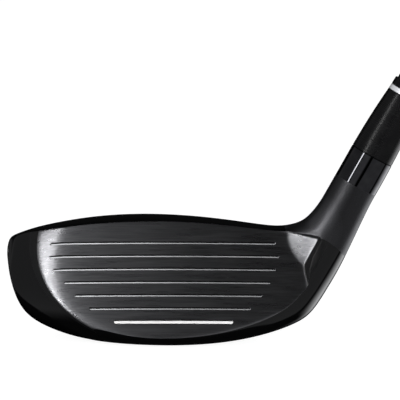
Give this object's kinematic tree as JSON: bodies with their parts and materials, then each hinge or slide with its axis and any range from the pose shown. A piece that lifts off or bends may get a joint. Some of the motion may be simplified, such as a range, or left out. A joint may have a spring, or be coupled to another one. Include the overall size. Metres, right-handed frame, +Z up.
{
  "type": "hybrid golf club",
  "caption": "Right-handed hybrid golf club: hollow black head with a brushed lofted face, a fixed hosel, a ferrule, a tapered shaft and a rubber grip.",
  "frame": {"origin": "on the ground under the lowest part of the sole, just behind the leading edge, with the club in its address position", "axes": "+X from the toe to the heel, +Y back from the face, +Z up; the face looks towards -Y and the shaft leans towards +X"},
  "size_m": [0.576, 0.0582, 0.8858],
  "materials": {
    "head_black": "gloss black paint over cast steel",
    "face_steel": "dark steel brushed from toe to heel",
    "fill_silver": "silver paint fill",
    "fill_white": "white paint fill",
    "weight_alloy": "raw dense alloy",
    "tip_brass": "turned brass",
    "ferrule_black": "polished black plastic",
    "ferrule_trim": "bright metallic trim",
    "shaft_black": "gloss black paint over carbon fibre",
    "grip_rubber": "matt moulded rubber with a fine tread",
    "tape_paper": "double-sided paper tape"
  },
  "bodies": {
    "root": {"head_body": "head_black", "face_plate": "face_steel", "sole_weight": "weight_alloy", "leading_fill": "fill_white", "score_fill_1": "fill_silver", "score_fill_2": "fill_silver", "score_fill_3": "fill_silver", "score_fill_4": "fill_silver", "score_fill_5": "fill_silver", "score_fill_6": "fill_silver", "shaft": "shaft_black", "tip_weight": "tip_brass", "ferrule_body": "ferrule_black", "ferrule_ring": "ferrule_trim", "ferrule_cap": "ferrule_black", "grip_tape": "tape_paper", "grip": "grip_rubber", "grip_cap": "grip_rubber"}
  },
  "joints": []
}
